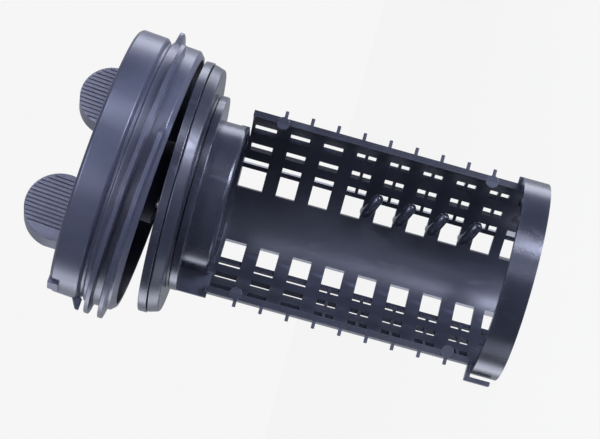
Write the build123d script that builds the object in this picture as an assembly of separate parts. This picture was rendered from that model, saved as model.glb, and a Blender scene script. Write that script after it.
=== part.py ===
from build123d import *
import math
import os

# Drain pump filter: a screw cap with a two-eared handle, a strainer body and its rubber seal.
# Millimetres. +Z runs along the filter from the open end ring (z = 0) to the cap.
# The trough of the strainer opens toward -Y, its closed back is toward +Y.

# Strainer trough
trough_top_z = 74.1
trough_outer_r_top = 23.3
trough_outer_r_end = 23.1
trough_wall = 1.55
rim_y = -3.2
end_wall = 1.9
end_wall_half_width = 17.5

# End ring
ring_height = 6.6
ring_outer_r = 24.9
ring_wall = 2.5
ring_end_land = 1.6

# Windows of the trough wall: rows are angles from the back line, columns are heights
column_count = 9
column_mid = 5
column_mid_z = trough_top_z - 38.3
column_pitch = 8.6
window_height = 4.95
first_column_extra = 0.6
last_column_top_z = 4.8
row_one = (18.5, 39.8)
row_two = (47.1, 53.6)
row_three = (64.2, 75.0)
strap_angles = (32.0, 35.2)
strap_depth = 0.95
split_from_column = 4
split_bar = 0.8

# Teeth and pads on the two rims
tooth_count = 10
tooth_first_z = 66.2
tooth_pitch = 6.6
tooth_size = 0.85
tooth_reach = 1.6
pad_r = 1.6
pad_rise = 0.25
pad_heights = (66.5, 13.4)

# Lint fingers between windows four to eight
finger_count = 4
finger_r = 1.35
finger_base = (9.3, 19.8, 0.8)
finger_knee = (8.9, 15.6, 0.3)
finger_tip = (12.0, 12.2, -1.3)

# Hook on the end ring and key rib on the neck
hook_width = 3.0
hook_bar_r = (25.8, 26.9)
hook_z = (1.3, 7.6)
hook_leg = 1.1
key_width = 2.4
key_r = 24.4

# Neck, retaining disc, seal seat and carrier flange
neck_r = 18.7
neck_wall = 1.5
disc_z = (trough_top_z + 6.6, trough_top_z + 8.6)
disc_r = 24.5
seat_r = 23.0
carrier_z = (disc_z[1] + 3.6, disc_z[1] + 5.7)
carrier_r = 31.6

# Seal
seal_seat_clearance = 0.05
seal_outer_r = 31.3
seal_back_r = 30.6
seal_back_z = disc_z[1] + 0.65
seal_foot_r = 24.1
seal_edge = 0.3

# Snap hub of the body
hub_r = 6.2
hub_wall = 2.0
hub_bead_r = 7.6
hub_bead_height = 1.4
hub_pivot_z = carrier_z[1] + 8.2
hub_lead_height = 2.0
hub_slot = 1.6
hub_slot_floor_z = carrier_z[1] + 2.6

# Cap
cap_front_z = carrier_z[1] + 19.8
cap_rim_height = 7.6
cap_rim_r = 33.8
cap_rim_wall = 2.6
cap_plate_z = (cap_front_z - 4.8, cap_front_z - 2.0)
collar_end_z = cap_front_z - 16.6
collar_root_r = 33.5
collar_wall = 2.0
collar_groove = 1.1
collar_lead = 1.2
rim_edge = 0.7
socket_wall = 2.3
socket_end_z = carrier_z[1] + 2.2
hub_clearance = 0.9
bead_clearance = 0.5
bead_end_clearance = 0.9
cap_lean_deg = 3.8
cap_front_lean_deg = 1.5
cap_lean_z = carrier_z[1] + 3.1

# Left-handed thread on the collar: pairs of ridges, each from one angle to another, with the depth
# of its first end behind the back edge of the rim
thread_lead = 4.2
thread_runs = ((140, 335, 2.1), (140, 288, 5.6), (343, 445, 1.9), (367, 450, 6.1))
thread_crest_r = 36.2
thread_root_width = 2.1
thread_crest_width = 1.0

# Stop lugs of the cap
stop_width = 5.0
stop_depth = 2.4
stop_reach = 0.7
stop_rise = 0.1
stop_length = 2.7
stop_turn_deg = 15.0
tooth_lug_reach = 2.4
tooth_lug_width = 3.0
tooth_lug_z = (cap_front_z - 8.2, cap_front_z - 5.5)

# Handle
handle_turn_deg = 14.0
handle_thick = 6.5
ear_big_r = 8.7
ear_big_offset = 15.7
ear_big_z = cap_front_z + 3.7
ear_small_r = 8.1
ear_small_offset = 15.7
ear_small_z = cap_front_z + 1.6
saddle_z = cap_front_z
rib_pitch = 1.05
rib_margin = 0.4
rib_groove = 0.5
rib_depth = 0.35
rib_floor_z = cap_front_z - 1.2
ear_smooth = 3.0


def turned(points):
    """A solid of revolution about +Z from (radius, height) points."""
    outline = Polyline(*[(r, 0, z) for r, z in points], close=True)
    return revolve(make_face(outline), axis=Axis.Z, revolution_arc=360)


def tube(outer_r, inner_r, low, high):
    """A plain tube about +Z."""
    return turned([(inner_r, low), (outer_r, low), (outer_r, high), (inner_r, high)])


def block(x_range, y_range, z_range):
    """A box between two corners."""
    size = [b - a for a, b in (x_range, y_range, z_range)]
    mid = [(a + b) / 2 for a, b in (x_range, y_range, z_range)]
    return Pos(*mid) * Box(*size)


def sector(angles, side, low, high, inner=14.0, outer=30.0):
    """A wedge of the trough wall between two angles from the back line."""
    a, b = (math.radians(v) for v in angles)
    corners = [
        (side * inner * math.sin(a), inner * math.cos(a)),
        (side * outer * math.sin(a), outer * math.cos(a)),
        (side * outer * math.sin(b), outer * math.cos(b)),
        (side * inner * math.sin(b), inner * math.cos(b)),
    ]
    face = make_face(Polyline(*corners, close=True))
    return Pos(0, 0, low) * extrude(face, high - low)


def trough_r(height):
    """Outer radius of the trough at a height: it narrows toward the ring."""
    share = height / trough_top_z
    return trough_outer_r_end + (trough_outer_r_top - trough_outer_r_end) * share


def columns():
    """The number, bottom and top of each column of windows."""
    found = []
    for number in range(1, column_count + 1):
        mid = column_mid_z + column_pitch * (column_mid - number)
        low = max(mid - window_height / 2, ring_end_land)
        high = mid + window_height / 2
        if number == column_count:
            high = last_column_top_z
        found.append((number, low, high))
    return found


def windows():
    """All cuts through the trough wall. A long outer strap stays across the first row."""
    cuts = []
    below = (row_one[0], strap_angles[0])
    behind = (strap_angles[0] - 0.2, strap_angles[1] + 0.2)
    above = (strap_angles[1], row_one[1])
    for number, low, high in columns():
        for side in (1, -1):
            top = high
            if number == 1:
                top = high + first_column_extra
            mid = (low + high) / 2
            halves = [(low, top)]
            if split_from_column <= number < column_count:
                halves = [(low, mid - split_bar / 2), (mid + split_bar / 2, top)]
            end = top
            if number == 1 and side == 1:
                end = trough_top_z + 0.1
                cuts.append(sector(above, side, low, end))
            cuts.append(sector(below, side, low, end))
            strap_r = trough_r(mid) - strap_depth
            cuts.append(sector(behind, side, low, end, outer=strap_r))
            for row in (above, row_two, row_three):
                for half_low, half_high in halves:
                    cuts.append(sector(row, side, half_low, half_high))
    return cuts


def rim_teeth():
    """Small teeth that stand out from both rims."""
    teeth = []
    for number in range(tooth_count):
        mid = tooth_first_z - tooth_pitch * number
        outer = trough_r(mid)
        for side in (1, -1):
            reach = sorted((side * (outer - 1.2), side * (outer + tooth_reach)))
            half = tooth_size / 2
            teeth.append(block(reach, (rim_y, rim_y + tooth_size), (mid - half, mid + half)))
    return teeth


def rim_pads():
    """Round ejector pads on the rims."""
    pads = []
    for mid in pad_heights:
        for side in (1, -1):
            place = Pos(side * (trough_r(mid) - pad_r), rim_y - pad_rise, mid) * Rot(-90, 0, 0)
            pads.append(place * extrude(Circle(pad_r), pad_rise + 1.6))
    return pads


def ring_hook():
    """The hook of the end ring: a thin bar along the ring that stands on one leg."""
    span = (-hook_width / 2, hook_width / 2)
    low, high = hook_z
    bar = block((-hook_bar_r[1], -hook_bar_r[0]), span, (low, high))
    leg = block((-hook_bar_r[1], -trough_r(high) + 1.0), span, (high - hook_leg, high))
    return bar + leg


def lint_fingers():
    """Curved fingers that stand on the bars between the middle windows."""
    fingers = []
    for number in range(finger_count):
        bar_z = column_mid_z + column_pitch * (0.5 - number)
        points = [(x, y, bar_z + z) for x, y, z in (finger_base, finger_knee, finger_tip)]
        path = ThreePointArc(*points)
        end = Plane(origin=path @ 0, z_dir=path % 0)
        fingers.append(sweep(end * Circle(finger_r), path=path))
        fingers.append(Pos(*points[2]) * Sphere(finger_r))
    return fingers


def body():
    """The strainer body: ring, trough, neck, seal seat, carrier flange and snap hub."""
    outer_top = trough_r(trough_top_z)
    outer_end = trough_r(0)
    shell = turned([
        (outer_end - trough_wall, 0),
        (outer_end, 0),
        (outer_top, trough_top_z),
        (outer_top - trough_wall, trough_top_z),
    ])
    wide = 2 * ring_outer_r
    front = block((-wide, wide), (-wide, rim_y), (-1, trough_top_z + 1))
    ring = tube(ring_outer_r, ring_outer_r - ring_wall, 0, ring_height)
    basket = shell - front + ring - windows()
    lower_wall = tube(outer_top, neck_r - neck_wall, trough_top_z, trough_top_z + end_wall)
    high_front = block((-wide, wide), (-wide, rim_y), (trough_top_z - 1, trough_top_z + end_wall + 1))
    bridge = block((-end_wall_half_width, end_wall_half_width), (rim_y, 2 * outer_top),
                   (trough_top_z, trough_top_z + end_wall))
    lower_wall = (lower_wall - high_front) & bridge
    bore_r = neck_r - neck_wall
    stem = turned([
        (bore_r, trough_top_z),
        (neck_r, trough_top_z),
        (neck_r, disc_z[0]),
        (disc_r, disc_z[0]),
        (disc_r, disc_z[1]),
        (seat_r, disc_z[1]),
        (seat_r, carrier_z[0]),
        (carrier_r, carrier_z[0]),
        (carrier_r, carrier_z[1]),
        (0, carrier_z[1]),
        (0, carrier_z[0]),
        (bore_r, carrier_z[0]),
    ])
    bead_low = hub_pivot_z - hub_bead_height / 2
    bead_high = hub_pivot_z + hub_bead_height / 2
    hub = turned([
        (hub_r - hub_wall, carrier_z[1] - 0.5),
        (hub_r, carrier_z[1] - 0.5),
        (hub_r, bead_low),
        (hub_bead_r, bead_low + 0.5),
        (hub_bead_r, bead_high - 0.3),
        (hub_r - 0.3, bead_high + hub_lead_height),
        (hub_r - hub_wall, bead_high + hub_lead_height),
    ])
    slot_high = bead_high + hub_lead_height + 1
    half = hub_slot / 2
    hub = hub - block((-10, 10), (-half, half), (hub_slot_floor_z, slot_high))
    hub = hub - block((-half, half), (-10, 10), (hub_slot_floor_z, slot_high))
    key = block((-key_r, -neck_r + 0.8), (-key_width / 2, key_width / 2), (trough_top_z, disc_z[0] + 0.5))
    whole = basket + lower_wall + stem + hub + key + ring_hook()
    whole = whole + rim_teeth() + rim_pads() + lint_fingers()
    return whole


def seal():
    """The rubber ring between the retaining disc and the carrier flange."""
    inner = seat_r + seal_seat_clearance
    low = disc_z[1] + seal_seat_clearance
    high = carrier_z[0] - seal_seat_clearance
    return turned([
        (inner, low),
        (seal_foot_r, low),
        (seal_foot_r, seal_back_z),
        (seal_back_r - seal_edge, seal_back_z),
        (seal_back_r, seal_back_z + seal_edge),
        (seal_outer_r, high - seal_edge),
        (seal_outer_r - seal_edge, high),
        (inner, high),
    ])


def collar_thread():
    """The coarse outer thread of the collar, in pairs of broken ridges."""
    root = collar_root_r - 0.4
    reach = thread_crest_r - root
    rim_low = cap_front_z - cap_rim_height
    runs = []
    for first, last, depth in thread_runs:
        rise = thread_lead * (last - first) / 360
        path = Helix(pitch=thread_lead, height=rise, radius=root, lefthand=True)
        start = Plane(origin=path @ 0, x_dir=(1, 0, 0), z_dir=path % 0)
        outline = Polyline(
            (0, -thread_root_width / 2),
            (reach, -thread_crest_width / 2),
            (reach, thread_crest_width / 2),
            (0, thread_root_width / 2),
            close=True,
        )
        ridge = sweep(start * make_face(outline), path=path, is_frenet=True)
        runs.append(Pos(0, 0, rim_low - depth - rise) * Rot(0, 0, last) * ridge)
    return runs


def ear(side, radius, offset, height):
    """One ribbed ear of the handle. The big ear keeps a smooth strip on its outer side."""
    middle = side * offset
    half = handle_thick / 2
    disc = Pos(middle, 0, height) * Rot(90, 0, 0) * extrude(Circle(radius), half, both=True)
    low = cap_plate_z[0] + 0.5
    stem = block((middle - radius * 0.96, middle + radius * 0.96), (-half, half), (low, height))
    grooves = []
    first = -radius + rib_margin
    if radius == ear_big_r:
        first = -radius + ear_smooth
    count = int((radius - rib_margin - first) / rib_pitch) + 1
    for number in range(count):
        mid = side * (offset - first - rib_pitch * number)
        span = (mid - rib_groove / 2, mid + rib_groove / 2)
        for face in (-1, 1):
            depth = sorted((face * (half - rib_depth), face * (half + 1)))
            grooves.append(block(span, depth, (rib_floor_z, height + radius + 1)))
    return disc + stem - grooves


def handle():
    """The two ears and the saddle between them."""
    saddle = block((-ear_big_offset, ear_small_offset), (-handle_thick / 2, handle_thick / 2),
                   (cap_plate_z[0] + 0.5, saddle_z))
    small = ear(1, ear_small_r, ear_small_offset, ear_small_z)
    big = ear(-1, ear_big_r, ear_big_offset, ear_big_z)
    return Rot(0, 0, handle_turn_deg) * (saddle + small + big)


def cap_lugs():
    """The stop at the front edge of the rim and the ramped tooth at its back edge."""
    stop = block((-cap_rim_r - stop_reach, -cap_rim_r - stop_reach + stop_depth),
                 (-stop_width / 2, stop_width / 2),
                 (cap_front_z + stop_rise - stop_length, cap_front_z + stop_rise))
    low, high = tooth_lug_z
    ramp = Plane.XZ * make_face(Polyline(
        (-cap_rim_r + 0.6, low),
        (-cap_rim_r - tooth_lug_reach, low),
        (-cap_rim_r - tooth_lug_reach, low + 0.8),
        (-cap_rim_r + 0.6, high),
        close=True,
    ))
    tooth = extrude(ramp, tooth_lug_width / 2, both=True)
    return Rot(0, 0, stop_turn_deg) * stop + tooth


def cap():
    """The screw cap before it leans: plate, rim, collar with thread, socket and handle."""
    rim_low = cap_front_z - cap_rim_height
    inner_r = collar_root_r - collar_wall
    shell = turned([
        (inner_r, collar_end_z),
        (collar_root_r - collar_lead, collar_end_z),
        (collar_root_r, collar_end_z + collar_lead),
        (collar_root_r, rim_low - collar_groove),
        (collar_root_r - 0.8, rim_low - collar_groove + 0.3),
        (collar_root_r - 0.8, rim_low),
        (cap_rim_r - rim_edge, rim_low),
        (cap_rim_r, rim_low + rim_edge),
        (cap_rim_r, cap_front_z - rim_edge),
        (cap_rim_r - rim_edge, cap_front_z),
        (cap_rim_r - cap_rim_wall, cap_front_z),
        (cap_rim_r - cap_rim_wall, cap_plate_z[1]),
        (0, cap_plate_z[1]),
        (0, cap_plate_z[0]),
        (inner_r, cap_plate_z[0]),
    ])
    bore = hub_r + hub_clearance
    groove_r = hub_bead_r + bead_clearance
    groove_low = hub_pivot_z - hub_bead_height / 2 - bead_end_clearance
    socket = turned([
        (bore, socket_end_z + 0.4),
        (bore + 0.4, socket_end_z),
        (groove_r + socket_wall, socket_end_z),
        (groove_r + socket_wall, cap_plate_z[0] + 0.5),
        (groove_r, cap_plate_z[0] + 0.5),
        (groove_r, groove_low),
        (bore, groove_low),
    ])
    return shell + socket + cap_lugs() + collar_thread() + handle()


def leaned(shape):
    """The cap tips a little on its snap hub, toward +X and -Y."""
    tilt = Rot(cap_front_lean_deg, 0, 0) * Rot(0, cap_lean_deg, 0)
    return Pos(0, 0, cap_lean_z) * tilt * Pos(0, 0, -cap_lean_z) * shape


os.makedirs("parts", exist_ok=True)
export_step(body(), "parts/filter_body.step")
export_step(seal(), "parts/seal_ring.step")
export_step(leaned(cap()), "parts/cap_knob.step")
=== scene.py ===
"""Looks of a washing machine drain pump filter: strainer body, rubber seal and screw cap.

Sizes are in millimetres, as in the solids, and are turned to metres when a mesh is made.
The filter stands on its open end ring, with the cap on top and the trough open toward -Y.
"""

from __future__ import annotations

import logging
import math
from dataclasses import dataclass, field
from enum import Enum, IntEnum

import bmesh
import bpy
import numpy as np
from mathutils import Matrix, Vector

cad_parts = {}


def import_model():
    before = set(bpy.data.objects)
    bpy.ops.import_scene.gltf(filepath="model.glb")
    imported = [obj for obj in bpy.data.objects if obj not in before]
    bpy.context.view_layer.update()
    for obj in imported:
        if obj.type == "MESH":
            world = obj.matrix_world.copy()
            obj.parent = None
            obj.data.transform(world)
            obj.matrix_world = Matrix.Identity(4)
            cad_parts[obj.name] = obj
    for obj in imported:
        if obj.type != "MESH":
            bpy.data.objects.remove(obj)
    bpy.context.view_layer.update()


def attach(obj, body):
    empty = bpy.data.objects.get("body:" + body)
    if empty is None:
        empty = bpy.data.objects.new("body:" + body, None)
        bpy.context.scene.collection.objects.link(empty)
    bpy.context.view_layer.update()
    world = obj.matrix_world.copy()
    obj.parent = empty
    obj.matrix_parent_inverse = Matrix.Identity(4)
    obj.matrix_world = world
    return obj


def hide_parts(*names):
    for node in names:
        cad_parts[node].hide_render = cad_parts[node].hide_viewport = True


MM = 0.001
log = logging.getLogger("drain_filter")

Point = tuple[float, float, float]
Pair = tuple[float, float]


class Carrier(Enum):
    """The moving bodies of the filter."""

    STRAINER = "strainer"
    CAP = "cap"


class Solid(Enum):
    """The solids that the pieces here stand for."""

    BODY = "filter_body"
    SEAL = "seal_ring"
    CAP = "cap_knob"


class Role(Enum):
    """The material slots of the record."""

    BODY = "body_plastic"
    SEAL = "seal_rubber"
    CAP = "cap_plastic"


@dataclass
class Shape:
    """A bare mesh in millimetres: corner points and faces."""

    points: list[Point] = field(default_factory=list)
    faces: list[tuple[int, ...]] = field(default_factory=list)

    def add(self, other: "Shape") -> "Shape":
        """Takes in another shape as a loose island.

        Args:
            other: The shape to take in.

        Returns:
            This shape.
        """
        start = len(self.points)
        self.points.extend(other.points)
        self.faces.extend(tuple(start + i for i in face) for face in other.faces)
        return self

    def moved(self, matrix: Matrix) -> "Shape":
        """A copy of the shape, put through a matrix.

        Args:
            matrix: The move, with its shift in millimetres.

        Returns:
            The moved shape.
        """
        points = [tuple(matrix @ Vector(p)) for p in self.points]
        return Shape(points, list(self.faces))


def turned(profile: list[Pair], segments: int = 180, arc: Pair = (0.0, 360.0)) -> Shape:
    """A shape turned about +Z from a closed profile.

    Args:
        profile: Corners as (radius, height), in order round the section.
        segments: Steps round the arc.
        arc: First and last angle in degrees. A full turn is closed, a part gets end faces.

    Returns:
        The turned shape.
    """
    whole = arc[1] - arc[0] >= 359.999
    rings = segments if whole else segments + 1
    count = len(profile)
    shape = Shape()
    for step in range(rings):
        angle = math.radians(arc[0] + (arc[1] - arc[0]) * step / segments)
        shape.points.extend((r * math.cos(angle), r * math.sin(angle), z) for r, z in profile)
    for step in range(segments):
        here = step * count
        there = ((step + 1) % rings) * count
        for i in range(count):
            j = (i + 1) % count
            shape.faces.append((here + i, there + i, there + j, here + j))
    if not whole:
        shape.faces.append(tuple(range(count)))
        shape.faces.append(tuple(reversed(range((rings - 1) * count, rings * count))))
    return shape


def extruded(outline: list[Pair], low: float, high: float) -> Shape:
    """A flat outline pulled along +Z.

    Args:
        outline: Corners as (x, y), in order.
        low: Height of the lower face.
        high: Height of the upper face.

    Returns:
        The prism.
    """
    count = len(outline)
    points = [(x, y, low) for x, y in outline] + [(x, y, high) for x, y in outline]
    faces = [tuple(reversed(range(count))), tuple(range(count, 2 * count))]
    faces += [(i, (i + 1) % count, count + (i + 1) % count, count + i) for i in range(count)]
    return Shape(points, faces)


def upright(outline: list[Pair], half: float) -> Shape:
    """A flat outline in the XZ plane, pulled both ways along Y.

    Args:
        outline: Corners as (x, z), in order.
        half: Half of the thickness along Y.

    Returns:
        The standing plate.
    """
    return extruded(outline, -half, half).moved(Matrix.Rotation(math.radians(90.0), 4, "X"))


def block(x_range: Pair, y_range: Pair, z_range: Pair) -> Shape:
    """A box between two corners.

    Args:
        x_range: Lowest and highest x.
        y_range: Lowest and highest y.
        z_range: Lowest and highest z.

    Returns:
        The box.
    """
    (x0, x1), (y0, y1) = x_range, y_range
    return extruded([(x0, y0), (x1, y0), (x1, y1), (x0, y1)], *z_range)


def cleaned_mesh(name: str, shape: Shape) -> bpy.types.Mesh:
    """A Blender mesh from a shape: doubles merged, faces turned outward, smooth shading.

    Args:
        name: Name of the mesh.
        shape: The shape in millimetres.

    Returns:
        The mesh in metres.
    """
    mesh = bpy.data.meshes.new(name)
    mesh.from_pydata([[c * MM for c in p] for p in shape.points], [], shape.faces)
    work = bmesh.new()
    work.from_mesh(mesh)
    bmesh.ops.remove_doubles(work, verts=work.verts[:], dist=1e-7)
    bmesh.ops.dissolve_degenerate(work, edges=work.edges[:], dist=1e-8)
    bmesh.ops.recalc_face_normals(work, faces=work.faces[:])
    for face in work.faces:
        face.smooth = True
    work.to_mesh(mesh)
    work.free()
    return mesh


@dataclass(frozen=True)
class Edge:
    """How the edges of a moulding are rounded."""

    width: float = 0.15
    segments: int = 2
    angle_deg: float = 32.0

    def soften(self, piece: bpy.types.Object) -> None:
        """Rounds the sharp edges of a piece with a Bevel modifier.

        Args:
            piece: The piece to finish.
        """
        bevel = piece.modifiers.new("moulded_edges", "BEVEL")
        bevel.width = self.width * MM
        bevel.segments = self.segments
        bevel.limit_method = "ANGLE"
        bevel.angle_limit = math.radians(self.angle_deg)
        bevel.harden_normals = True
        bevel.use_clamp_overlap = True


class NodeSheet:
    """A node tree under construction, for shaders, groups and geometry."""

    def __init__(self, tree: bpy.types.NodeTree) -> None:
        """Keeps the tree that the nodes go to."""
        self.tree = tree

    def node(self, kind: str, **settings: object) -> bpy.types.Node:
        """Adds a node.

        Args:
            kind: The node's type name.
            **settings: Properties to set on it.

        Returns:
            The new node.
        """
        made = self.tree.nodes.new(kind)
        for key, value in settings.items():
            setattr(made, key, value)
        return made

    def join(self, start: bpy.types.NodeSocket, end: bpy.types.NodeSocket) -> None:
        """Links two sockets."""
        self.tree.links.new(start, end)

    def feed(self, value: object, end: bpy.types.NodeSocket) -> None:
        """Links a socket, or sets a plain value.

        Args:
            value: A socket to link or a value to set.
            end: The input socket.
        """
        if isinstance(value, bpy.types.NodeSocket):
            self.join(value, end)
        else:
            end.default_value = value

    def maths(self, operation: str, first: object, second: object = 0.0,
              clamp: bool = False) -> bpy.types.NodeSocket:
        """Adds a Math node.

        Args:
            operation: Name of the operation.
            first: First socket or value.
            second: Second socket or value.
            clamp: Whether the result stays between 0 and 1.

        Returns:
            The result socket.
        """
        made = self.node("ShaderNodeMath", operation=operation, use_clamp=clamp)
        self.feed(first, made.inputs[0])
        self.feed(second, made.inputs[1])
        return made.outputs[0]

    def vector(self, x: object = 0.0, y: object = 0.0, z: object = 0.0) -> bpy.types.NodeSocket:
        """Adds a Combine XYZ node.

        Args:
            x: First socket or value.
            y: Second socket or value.
            z: Third socket or value.

        Returns:
            The vector socket.
        """
        made = self.node("ShaderNodeCombineXYZ")
        for value, end in zip((x, y, z), made.inputs):
            self.feed(value, end)
        return made.outputs[0]


class GeometryTree(NodeSheet):
    """A Geometry Nodes tree with named number inputs, which is run once to give a plain mesh."""

    def __init__(self, name: str) -> None:
        """Starts an empty tree with a geometry output."""
        super().__init__(bpy.data.node_groups.new(name, "GeometryNodeTree"))
        face = self.tree.interface
        face.new_socket("Geometry", in_out="OUTPUT", socket_type="NodeSocketGeometry")
        self.values: dict[str, float | int] = {}
        self.source = self.node("NodeGroupInput")
        self.sink = self.node("NodeGroupOutput")

    def size(self, name: str, value: float) -> bpy.types.NodeSocket:
        """Adds a named size input.

        Args:
            name: Name of the input.
            value: The size in millimetres.

        Returns:
            The socket that gives the size inside the tree, in metres.
        """
        return self._input(name, "NodeSocketFloat", value * MM)

    def count(self, name: str, value: int) -> bpy.types.NodeSocket:
        """Adds a named whole-number input.

        Args:
            name: Name of the input.
            value: The number.

        Returns:
            The socket that gives it inside the tree.
        """
        return self._input(name, "NodeSocketInt", value)

    def _input(self, name: str, kind: str, value: float | int) -> bpy.types.NodeSocket:
        """Adds an input socket and remembers the value it gets."""
        self.tree.interface.new_socket(name, in_out="INPUT", socket_type=kind)
        self.values[name] = value
        return self.source.outputs[name]

    def run(self, name: str, geometry: bpy.types.NodeSocket,
            material: bpy.types.Material) -> bpy.types.Mesh:
        """Ends the tree and turns its result into a plain mesh.

        Args:
            name: Name of the mesh.
            geometry: The socket with the finished geometry.
            material: Material of the result.

        Returns:
            The mesh.
        """
        real = self.node("GeometryNodeRealizeInstances")
        coat = self.node("GeometryNodeSetMaterial")
        coat.inputs["Material"].default_value = material
        self.join(geometry, real.inputs[0])
        self.join(real.outputs[0], coat.inputs["Geometry"])
        self.join(coat.outputs[0], self.sink.inputs[0])
        host = bpy.data.objects.new(name + "_host", bpy.data.meshes.new(name + "_host"))
        bpy.context.scene.collection.objects.link(host)
        modifier = host.modifiers.new("tree", "NODES")
        modifier.node_group = self.tree
        for item in self.tree.interface.items_tree:
            if item.in_out == "INPUT":
                modifier[item.identifier] = self.values[item.name]
        graph = bpy.context.evaluated_depsgraph_get()
        mesh = bpy.data.meshes.new_from_object(host.evaluated_get(graph))
        mesh.name = name
        host.modifiers.remove(modifier)
        bpy.data.objects.remove(host)
        return mesh


def surface_group() -> bpy.types.NodeTree:
    """The shared skin of every piece: fine grain, cloudy tone and scuffs.

    Returns:
        A shader group with outputs Height, Tone and Scuff.
    """
    tree = bpy.data.node_groups.new("moulded_skin", "ShaderNodeTree")
    face = tree.interface
    face.new_socket("Place", in_out="INPUT", socket_type="NodeSocketVector")
    for name, value in (("Grain Scale", 2600.0), ("Cloud Scale", 60.0), ("Scuff Scale", 240.0)):
        face.new_socket(name, in_out="INPUT", socket_type="NodeSocketFloat").default_value = value
    for name in ("Height", "Tone", "Scuff"):
        face.new_socket(name, in_out="OUTPUT", socket_type="NodeSocketFloat")
    sheet = NodeSheet(tree)
    source = sheet.node("NodeGroupInput")
    sink = sheet.node("NodeGroupOutput")
    grain = sheet.node("ShaderNodeTexNoise")
    grain.inputs["Detail"].default_value = 3.0
    cloud = sheet.node("ShaderNodeTexNoise")
    cloud.inputs["Detail"].default_value = 4.0
    cloud.inputs["Roughness"].default_value = 0.6
    streak = sheet.node("ShaderNodeTexNoise")
    streak.inputs["Detail"].default_value = 5.0
    streak.inputs["Distortion"].default_value = 0.8
    stretch = sheet.node("ShaderNodeMapping")
    stretch.inputs["Scale"].default_value = (1.0, 1.0, 0.35)
    sheet.join(source.outputs["Place"], stretch.inputs["Vector"])
    for node, scale in ((grain, "Grain Scale"), (cloud, "Cloud Scale"), (streak, "Scuff Scale")):
        start = stretch.outputs[0] if node is streak else source.outputs["Place"]
        sheet.join(start, node.inputs["Vector"])
        sheet.join(source.outputs[scale], node.inputs["Scale"])
    scuff = sheet.node("ShaderNodeMapRange")
    scuff.inputs["From Min"].default_value = 0.55
    scuff.inputs["From Max"].default_value = 0.78
    sheet.join(streak.outputs["Fac"], scuff.inputs["Value"])
    sheet.join(grain.outputs["Fac"], sink.inputs["Height"])
    sheet.join(cloud.outputs["Fac"], sink.inputs["Tone"])
    sheet.join(scuff.outputs["Result"], sink.inputs["Scuff"])
    return tree


def lighter_edge_group() -> bpy.types.NodeTree:
    """The shared lighter edges: a mask of sharp outer edges, broken up by noise.

    Returns:
        A shader group with one output: the share of the lighter edge colour.
    """
    tree = bpy.data.node_groups.new("lighter_outer_edges", "ShaderNodeTree")
    face = tree.interface
    face.new_socket("Place", in_out="INPUT", socket_type="NodeSocketVector")
    face.new_socket("Amount", in_out="INPUT", socket_type="NodeSocketFloat").default_value = 0.5
    face.new_socket("Lighter Edge", in_out="OUTPUT", socket_type="NodeSocketFloat")
    sheet = NodeSheet(tree)
    source = sheet.node("NodeGroupInput")
    sink = sheet.node("NodeGroupOutput")
    geometry = sheet.node("ShaderNodeNewGeometry")
    ramp = sheet.node("ShaderNodeMapRange")
    ramp.inputs["From Min"].default_value = 0.52
    ramp.inputs["From Max"].default_value = 0.62
    sheet.join(geometry.outputs["Pointiness"], ramp.inputs["Value"])
    noise = sheet.node("ShaderNodeTexNoise")
    noise.inputs["Scale"].default_value = 420.0
    noise.inputs["Detail"].default_value = 4.0
    sheet.join(source.outputs["Place"], noise.inputs["Vector"])
    broken = sheet.maths("MULTIPLY", ramp.outputs["Result"], noise.outputs["Fac"])
    # Sharp outer edges, broken up by noise, get a share of the lighter colour.
    lighter_edge_amount = sheet.maths("MULTIPLY", broken, source.outputs["Amount"], clamp=True)
    sheet.join(lighter_edge_amount, sink.inputs["Lighter Edge"])
    return tree


def hollow_group() -> bpy.types.NodeTree:
    """The shared dull side of a hollow: between two radii and below a height.

    Returns:
        A shader group with output Dull.
    """
    tree = bpy.data.node_groups.new("dull_hollow", "ShaderNodeTree")
    face = tree.interface
    face.new_socket("Place", in_out="INPUT", socket_type="NodeSocketVector")
    for name in ("Inner Radius", "Outer Radius", "Top", "Amount"):
        face.new_socket(name, in_out="INPUT", socket_type="NodeSocketFloat")
    face.new_socket("Dull", in_out="OUTPUT", socket_type="NodeSocketFloat")
    sheet = NodeSheet(tree)
    source = sheet.node("NodeGroupInput")
    sink = sheet.node("NodeGroupOutput")
    split = sheet.node("ShaderNodeSeparateXYZ")
    sheet.join(source.outputs["Place"], split.inputs[0])
    across, along, height = split.outputs
    square = sheet.maths("ADD", sheet.maths("MULTIPLY", across, across),
                         sheet.maths("MULTIPLY", along, along))
    radius = sheet.maths("SQRT", square)
    beyond = sheet.maths("GREATER_THAN", radius, source.outputs["Inner Radius"])
    within = sheet.maths("LESS_THAN", radius, source.outputs["Outer Radius"])
    below = sheet.maths("LESS_THAN", height, source.outputs["Top"])
    shell = sheet.maths("MULTIPLY", sheet.maths("MULTIPLY", beyond, within), below)
    sheet.join(sheet.maths("MULTIPLY", shell, source.outputs["Amount"]), sink.inputs["Dull"])
    return tree


@dataclass(frozen=True)
class Hollow:
    """The dull side of a hollow: its two radii, its top and the added roughness."""

    radii: Pair
    top: float
    more: float


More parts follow.
